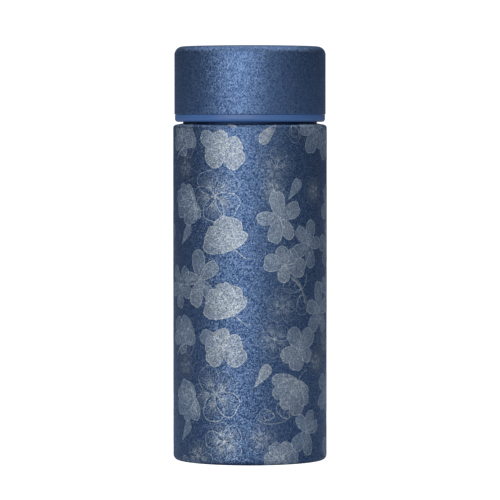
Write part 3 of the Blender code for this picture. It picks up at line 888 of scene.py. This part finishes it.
def print_mesh(points, triangles, ink, tone, material):
    """Wraps the flat inked triangles round the shell."""
    used, triangles = np.unique(triangles, return_inverse=True)
    triangles = triangles.reshape(-1, 3)
    verts, normals = [], []
    for u, v in points[used]:
        r, z, normal_r, normal_z = shell_point(v)
        r, z = r + PRINT_LIFT * normal_r, z + PRINT_LIFT * normal_z
        x, y = math.sin(u / BODY_R), -math.cos(u / BODY_R)
        verts.append((MM * r * x, MM * r * y, MM * z))
        normals.append((normal_r * x, normal_r * y, normal_z))
    mesh = bpy.data.meshes.new("blossom_print")
    mesh.from_pydata(verts, [], triangles.tolist())
    for name, values in (("ink", ink), ("tone", tone)):
        mesh.attributes.new(name, "FLOAT", "FACE").data.foreach_set("value", values.astype(np.float32))
    mesh.shade_smooth()
    mesh.normals_split_custom_set_from_vertices(normals)
    made = put_in_scene("blossom_print", mesh, material)
    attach(made, "bottle")


# ---------------------------------------------------------------- bottle


def arc(centre, radius, start_deg, end_deg, steps):
    angles = np.radians(np.linspace(start_deg, end_deg, steps + 1))
    return [(centre[0] + radius * math.cos(a), centre[1] + radius * math.sin(a)) for a in angles]


def outer_shell(paint):
    wall = SHELL_WALL
    foot = (BODY_R - FOOT_CORNER, FOOT_CORNER)
    corner = (BODY_R - SHOULDER_CORNER, CORNER_Z)
    lean = math.degrees(SHOULDER_LEAN)
    profile = [(FOOT_INNER_R, 0.0)]
    profile += arc(foot, FOOT_CORNER, -90, 0, 10)
    profile += arc(corner, SHOULDER_CORNER, 0, lean, 8)
    profile += rounded([(LAND_R, SHOULDER_Z), (LAND_R, LAND_Z, 0.15), (NECK_R + 0.3, LAND_Z)])
    profile += [(NECK_R + 0.3, LAND_Z - wall), (LAND_R - wall, LAND_Z - wall)]
    profile += [(LAND_R - wall, SHOULDER_Z - wall)]
    profile += arc(corner, SHOULDER_CORNER - wall, lean, 0, 4)
    profile += arc(foot, FOOT_CORNER - wall, 0, -90, 6)
    profile += [(FOOT_INNER_R, wall)]
    turned("outer_shell_painted", profile, paint, "bottle", "outer_shell")


def threaded_neck(steel):
    bore = MOUTH_R + VESSEL_WALL + 0.1
    top = LIP_Z - 0.6
    flange_top = LAND_Z - SHELL_WALL
    wall = [(NECK_R, z) for z in np.linspace(flange_top + 0.4, top - 0.3, THREAD_ROWS)]
    profile = [(bore, flange_top - 0.6), (NECK_R + 2.5, flange_top - 0.6), (NECK_R + 2.5, flange_top)]
    profile += [(NECK_R + 0.25, flange_top), (NECK_R + 0.07, flange_top + 0.12)]
    profile += wall
    profile += [(NECK_R - 0.1, top), (bore, top)]
    relief = thread_relief(NECK_R, 1, NECK_TURNS, 0.0)
    turned("threaded_neck_fine", profile, steel, "bottle", "threaded_neck", relief=relief)


def inner_vessel(steel):
    """Tube, flare and rolled lip of the inner vessel, as one sheet."""
    wall = VESSEL_WALL
    inner = []
    for t in np.linspace(1, 0, 15):
        r = VESSEL_R + (MOUTH_R - VESSEL_R) * float(smoothstep(t))
        inner.append((r, FLARE_BOTTOM_Z + FLARE_HEIGHT * t))
    outer = [(r + wall, z) for r, z in inner[::-1]]
    lip = rounded(
        [
            (MOUTH_R + wall, LIP_Z - 2.0),
            (MOUTH_R + wall, LIP_Z - 0.55, 0.1),
            (NECK_R, LIP_Z - 0.55, 0.15),
            (NECK_R, LIP_Z, 0.35),
            (MOUTH_R, LIP_Z, 0.45),
            (MOUTH_R, LIP_Z - 2.0),
        ],
        7,
    )
    profile = [(VESSEL_R, VESSEL_WELD_Z), (VESSEL_R + wall, VESSEL_WELD_Z)] + outer + lip + inner
    turned("inner_tube_fine", profile, steel, "bottle", "inner_tube")


def inner_floor(steel):
    floor_z = low("inner_bottom").z + VESSEL_WALL
    rim_z = high("inner_bottom").z + 0.25
    corner = 4.0
    centre = (VESSEL_R - corner, floor_z + corner)
    profile = [(0.0, floor_z - VESSEL_WALL)]
    profile += arc(centre, corner + VESSEL_WALL, -90, 0, 12)
    profile += [(VESSEL_R + VESSEL_WALL, rim_z), (VESSEL_R + 0.12, rim_z), (VESSEL_R - 0.05, rim_z - 0.25)]
    profile += arc(centre, corner, 0, -90, 12)
    profile += [(12.0, floor_z), (11.6, floor_z + 0.12), (0.0, floor_z + 0.12)]
    turned("inner_bottom_fine", profile, steel, "bottle", "inner_bottom")


def base_cover(steel):
    radius = high("base_cover").x
    bottom = low("base_cover").z
    top = high("base_cover").z
    wall = SHELL_WALL
    panel_r = 17.0
    step = 0.45
    profile = rounded(
        [
            (0.0, bottom + step),
            (panel_r - step, bottom + step, 0.5),
            (panel_r, bottom, 0.5),
            (radius, bottom, 0.7),
            (radius, top, 0.15),
            (radius - wall, top, 0.15),
            (radius - wall, bottom + wall, 0.3),
            (panel_r + 0.2, bottom + wall, 0.3),
            (panel_r - step + 0.2, bottom + step + wall, 0.3),
            (0.0, bottom + step + wall),
        ]
    )
    turned("base_cover_fine", profile, steel, "bottle", "base_cover")


# ---------------------------------------------------------------- cap


def cap_cover(paint):
    corner = 3.0
    dome = 0.35
    wall = SHELL_WALL
    edge_z = CAP_TOP_Z - dome
    centre = (CAP_R - corner, edge_z - corner)
    bottom = RING_TOP_Z + 0.06
    top = [(centre[0] * s, edge_z + dome * (1 - s * s)) for s in np.linspace(1.0, 0.0, 14)]
    profile = [(0.0, CAP_TOP_Z - wall), (centre[0], edge_z - wall)]
    profile += arc(centre, corner - wall, 90, 0, 8)[1:]
    profile += [(CAP_R - wall, bottom + 0.1), (CAP_R - wall + 0.08, bottom)]
    profile += arc((CAP_R - 0.22, bottom + 0.22), 0.22, -90, 0, 5)
    profile += arc(centre, corner, 0, 90, 14)
    profile += top[1:]
    turned("cap_cover_painted", profile, paint, "cap", "cap_cover")


def cap_trim_ring(plastic):
    inner = SKIRT_OUTER_R + 0.3
    collar_r = CAP_R - SHELL_WALL - 0.15
    collar_top = high("cap_trim_ring").z
    profile = rounded(
        [
            (inner, RING_BOTTOM_Z + 0.1),
            (inner + 0.1, RING_BOTTOM_Z),
            (RING_R, RING_BOTTOM_Z, 1.1),
            (RING_R, RING_TOP_Z, 0.12),
            (collar_r, RING_TOP_Z),
            (collar_r, collar_top, 0.2),
            (collar_r - 1.0, collar_top, 0.2),
            (collar_r - 1.0, RING_TOP_Z),
            (inner, RING_TOP_Z),
        ],
        8,
    )
    turned("cap_trim_ring_fine", profile, plastic, "cap", "cap_trim_ring")


def cap_body(plastic):
    disc_top = high("cap_body").z
    disc_r = CAP_R - SHELL_WALL - 0.15
    spigot_r = PLUG_R - 1.7
    spigot_bottom = DISC_Z - 2.4
    bore_top = [(SKIRT_BORE_R - 0.5, DISC_Z), (SKIRT_BORE_R - 0.15, DISC_Z - 0.15)]
    bore = [(SKIRT_BORE_R, z) for z in np.linspace(DISC_Z - 0.5, SKIRT_BOTTOM_Z + 1.0, THREAD_ROWS)]
    profile = [
        (0.0, DISC_Z),
        (spigot_r - 1.2, DISC_Z),
        (spigot_r - 1.2, spigot_bottom),
        (spigot_r, spigot_bottom),
        (spigot_r, DISC_Z),
    ]
    profile += bore_top + bore
    profile += rounded(
        [
            (SKIRT_BORE_R, SKIRT_BOTTOM_Z + 0.7),
            (SKIRT_BORE_R + 0.7, SKIRT_BOTTOM_Z, 0.3),
            (SKIRT_OUTER_R, SKIRT_BOTTOM_Z, 0.3),
            (SKIRT_OUTER_R, DISC_Z, 0.5),
            (disc_r, DISC_Z, 0.2),
            (disc_r, disc_top, 0.2),
            (0.0, disc_top),
        ]
    )
    relief = thread_relief(SKIRT_BORE_R, -1, SKIRT_TURNS, math.tau / 4)
    turned("cap_body_fine", profile, plastic, "cap", "cap_body", relief=relief)


def plug_cup(plastic):
    groove_bottom = PLUG_BOTTOM_Z + 1.0
    groove_top = groove_bottom + 3.4
    groove_r = PLUG_R - 1.5
    inner = PLUG_R - 1.4
    top = DISC_Z - 0.05
    profile = rounded(
        [
            (0.0, PLUG_BOTTOM_Z + 0.35),
            (9.0, PLUG_BOTTOM_Z + 0.35, 0.4),
            (9.6, PLUG_BOTTOM_Z, 0.4),
            (PLUG_R, PLUG_BOTTOM_Z, 0.5),
            (PLUG_R, groove_bottom, 0.15),
            (groove_r, groove_bottom, 0.15),
            (groove_r, groove_top, 0.15),
            (PLUG_R, groove_top, 0.25),
            (PLUG_R, top, 0.1),
            (inner, top),
            (inner, groove_top + 1.0),
            (groove_r - 1.4, groove_top - 0.4),
            (groove_r - 1.4, PLUG_BOTTOM_Z + 1.4),
            (0.0, PLUG_BOTTOM_Z + 1.4),
        ]
    )
    turned("plug_cup_fine", profile, plastic, "cap", "plug_cup")


def plug_gasket(silicone):
    bottom = low("plug_gasket").z
    top = high("plug_gasket").z
    lip = high("plug_gasket").x
    inner = PLUG_R - 1.5 + 0.05
    profile = rounded(
        [
            (inner, bottom + 0.3),
            (inner, bottom, 0.2),
            (inner + 1.5, bottom, 0.3),
            (lip, bottom + 1.7, 0.5),
            (lip, top, 0.25),
            (lip - 0.6, top, 0.2),
            (inner + 1.7, bottom + 1.7, 0.25),
            (inner + 1.4, top, 0.15),
            (inner, top, 0.15),
            (inner, bottom + 0.4),
        ]
    )
    turned("plug_gasket_fine", profile, silicone, "seal", "plug_gasket")


# ---------------------------------------------------------------- stage, light, camera

FLOOR_COLOUR = (0.48, 0.54, 0.64, 1)
SKY_COLOUR = (0.55, 0.78, 1.0, 1)
SKY_LIGHT = 0.034
SKY_SEEN = 1.4
LIGHTS_AIM_Z = 75.0
EYE_Z = 123.0
EYE_DISTANCE = 1330.0
LOOK_Z = 76.4
LENS = 262.6


def floor():
    """A pale floor that runs up into a wall far behind. The camera sees it white, the bottle a pale blue."""
    near, far, width, sweep = -2500.0, 1800.0, 3200.0, 500.0
    line = [(near, 0.0)]
    for a in np.linspace(0, math.pi / 2, 13):
        line.append((far + sweep * math.sin(a), sweep * (1 - math.cos(a))))
    line += [(far + sweep, 3000.0)]
    verts = [(x, y, z) for y, z in line for x in (-width, width)]
    faces = [(2 * i, 2 * i + 1, 2 * i + 3, 2 * i + 2) for i in range(len(line) - 1)]
    mesh = bpy.data.meshes.new("floor")
    mesh.from_pydata((np.array(verts) * MM).tolist(), [], faces)
    mesh.shade_smooth()

    material = bpy.data.materials.new("pale_floor")
    material.use_nodes = True
    tree = material.node_tree
    shader = tree.nodes["Principled BSDF"]
    shader.inputs["Base Color"].default_value = FLOOR_COLOUR
    shader.inputs["Roughness"].default_value = 0.9
    shader.inputs["Specular IOR Level"].default_value = 0.0
    path = tree.nodes.new("ShaderNodeLightPath")
    tree.links.new(path.outputs["Is Camera Ray"], shader.inputs["Emission Strength"])
    shader.inputs["Emission Color"].default_value = (1, 1, 1, 1)
    put_in_scene("floor", mesh, material)


def aim(made, spot, target_z):
    """Puts an object at a spot and points it at a height on the bottle's axis."""
    made.location = Vector(spot) * MM
    toward = Vector((0, 0, target_z)) * MM - made.location
    made.rotation_euler = toward.to_track_quat("-Z", "Y").to_euler()


def area_light(name, azimuth, height, distance, size_x, size_y, power):
    """A soft panel facing the bottle, at an azimuth in degrees from the camera towards its right."""
    a = math.radians(azimuth)
    data = bpy.data.lights.new(name, "AREA")
    data.shape = "RECTANGLE"
    data.size, data.size_y = size_x * MM, size_y * MM
    data.energy = power
    spot = (distance * math.sin(a), -distance * math.cos(a), height)
    aim(put_in_scene(name, data), spot, LIGHTS_AIM_Z)


def studio():
    """A faint sky, a wide key panel left of the camera, a large one overhead and a weak fill."""
    world = bpy.data.worlds.new("studio")
    world.use_nodes = True
    tree = world.node_tree
    background = tree.nodes["Background"]
    path = tree.nodes.new("ShaderNodeLightPath")
    strength = tree.nodes.new("ShaderNodeMapRange")
    strength.inputs["To Min"].default_value = SKY_LIGHT
    strength.inputs["To Max"].default_value = SKY_SEEN
    tree.links.new(path.outputs["Is Camera Ray"], strength.inputs["Value"])
    tree.links.new(strength.outputs["Result"], background.inputs["Strength"])
    background.inputs["Color"].default_value = SKY_COLOUR
    bpy.context.scene.world = world
    area_light("key", -17, 330, 1100, 1150, 800, 8.2)
    area_light("top", 0, 1300, 20, 3000, 1800, 23.0)
    area_light("fill", 38, 300, 1200, 700, 800, 0.7)


def camera():
    """A long lens at the height of the bottle's shoulder, looking a little down."""
    data = bpy.data.cameras.new("camera")
    data.lens = LENS
    data.sensor_width = 36.0
    data.clip_start, data.clip_end = 0.05, 50
    made = put_in_scene("camera", data)
    aim(made, (0, -EYE_DISTANCE, EYE_Z), LOOK_Z)
    bpy.context.scene.camera = made


def dress(node, material):
    """Gives a CAD node that stays as it is a better material."""
    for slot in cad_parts[node].material_slots:
        slot.material = material


def main():
    # The body paint carries painted shade on the land under the cap ring, from just above the shoulder.
    outer_shell(paint_material("body_paint", BODY_SPARKLE, BODY_SHADE, SHOULDER_Z + 0.02))
    blossom_print(print_material())
    threaded_neck(steel_material("neck_steel", 1.5, 5.0))
    inner_vessel(steel_material("vessel_steel", 2.0, 4.0, 0.56, 0.22, 0.42))
    inner_floor(steel_material("vessel_floor_steel", 3.0, 3.0, 0.54, 0.25, 0.45))
    base_cover(steel_material("base_steel", 2.5, 6.0, 0.60, 0.16, 0.34))

    cap_cover(paint_material("cap_paint", CAP_SPARKLE, 1.0))
    cap_trim_ring(ring_material())
    cap_body(moulded_material("grey_cap_plastic", (0.36, 0.39, 0.44), (0.44, 0.47, 0.52)))
    plug_cup(moulded_material("white_plug_plastic", (0.66, 0.67, 0.69), (0.78, 0.79, 0.80), 0.40))
    plug_gasket(silicone_material())

    foam = foam_material()
    hidden_steel = steel_material("hidden_steel", 2.5, 5.0, 0.52, 0.28, 0.48)
    dress("cap_foam", foam)
    dress("plug_foam", foam)
    dress("radiation_foil", foil_material())
    dress("getter_clip", hidden_steel)
    dress("base_plate", hidden_steel)
    powder = moulded_material("getter_powder", (0.16, 0.16, 0.17), (0.30, 0.30, 0.31), 0.8, 4.0, 0.1)
    dress("getter_pellet", powder)
    dress("seal_bead", glass_material())

    floor()
    studio()
    camera()
    settings = bpy.context.scene.view_settings
    settings.view_transform = "Standard"
    settings.look = "None"


main()
